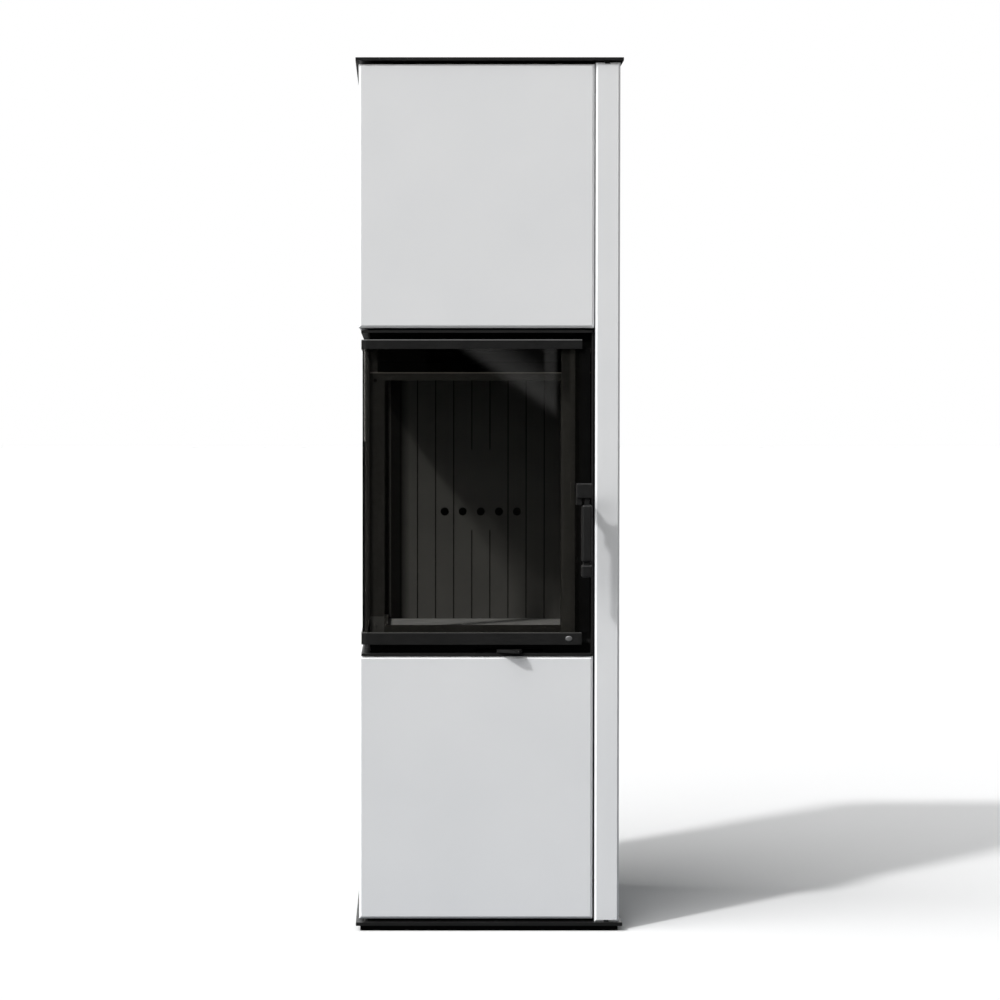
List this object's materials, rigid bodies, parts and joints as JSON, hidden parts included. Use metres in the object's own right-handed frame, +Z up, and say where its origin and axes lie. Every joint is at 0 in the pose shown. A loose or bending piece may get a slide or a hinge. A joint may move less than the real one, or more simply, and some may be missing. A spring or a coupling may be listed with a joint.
{
  "type": "tiled stove",
  "caption": "Tall slim wood stove clad in light-grey glazed tiles, with bent corner-glass fire door, latch handle, air lever and a hinged tile door below.",
  "frame": {"origin": "on the floor under the middle of the cladding, on the plinth's centre rail", "axes": "+Z up, -Y the front with the handle and the air lever, +X to the right seen from the front"},
  "size_m": [0.459, 0.554, 1.5],
  "materials": {
    "glazed_tile": "satin glaze",
    "black_steel": "matt heat-proof paint",
    "dark_steel": "matt, slightly burnt",
    "bare_steel": "satin",
    "door_glass": "clear ceramic glass",
    "fire_board": "pressed fireboard",
    "grate_iron": "raw casting",
    "storage_stone": "cast block",
    "rope_seal": "glass-fibre rope"
  },
  "bodies": {
    "stove_body": {"plinth_frame": "black_steel", "levelling_feet": "bare_steel", "base_plate": "black_steel", "top_plate": "black_steel", "upper_shelf": "black_steel", "lower_shelf": "black_steel", "right_casing_sheet": "black_steel", "left_sheets": "black_steel", "upper_front_sheet": "black_steel", "rear_panel": "black_steel", "rear_left_panel": "black_steel", "upper_front_tile": "glazed_tile", "upper_left_tile": "glazed_tile", "lower_left_tile": "glazed_tile", "right_side_panel": "glazed_tile", "panel_clips": "black_steel", "tile_ledges": "black_steel", "tile_hooks": "black_steel", "front_frame": "dark_steel", "side_frame": "dark_steel", "frame_screws": "bare_steel", "firebox_right_wall": "dark_steel", "firebox_rear_wall": "dark_steel", "firebox_top": "dark_steel", "floor_plate": "dark_steel", "hearth_slab": "fire_board", "right_lining": "fire_board", "rear_left_lining": "fire_board", "side_curb": "dark_steel", "fireback": "fire_board", "baffle_slab": "fire_board", "grate": "grate_iron", "ash_box": "dark_steel", "ash_pan": "bare_steel", "air_box": "dark_steel", "air_spigot": "black_steel", "flue_spigot": "black_steel", "flue_pipe": "dark_steel", "heat_storage_stones": "storage_stone", "latch_keeper": "bare_steel", "magnet_catch": "black_steel"},
    "fire_door": {"door_glass": "door_glass", "door_top_rail": "black_steel", "door_bottom_rail": "black_steel", "door_right_stile": "black_steel", "door_rear_stile": "black_steel", "door_hinge_pins": "bare_steel", "door_seal": "rope_seal", "door_stud": "bare_steel"},
    "door_handle": {"handle_head": "black_steel", "handle_grip": "black_steel", "handle_end": "black_steel", "handle_sleeve": "black_steel", "handle_spindle": "bare_steel", "latch_cam": "bare_steel"},
    "air_control": {"air_lever": "black_steel", "air_slide": "bare_steel"},
    "lower_door": {"lower_front_tile": "glazed_tile", "lower_door_carrier": "black_steel", "lower_door_pins": "bare_steel"}
  },
  "joints": [
    {"name": "fire_door_hinge", "type": "hinge", "parent": "stove_body", "child": "fire_door", "pos_m": [-0.213, 0.095, 0.7565], "axis": [0, 0, -1], "range_deg": [0, 100]},
    {"name": "handle_turn", "type": "hinge", "parent": "fire_door", "child": "door_handle", "pos_m": [0.1625, -0.24, 0.744], "axis": [0, -1, 0], "range_deg": [0, 40]},
    {"name": "air_lever_slide", "type": "slide", "parent": "stove_body", "child": "air_control", "axis": [1, 0, 0], "range_m": [-0.035, 0.035]},
    {"name": "lower_door_hinge", "type": "hinge", "parent": "stove_body", "child": "lower_door", "pos_m": [-0.213, -0.209, 0.247], "axis": [0, 0, -1], "range_deg": [0, 95]}
  ]
}
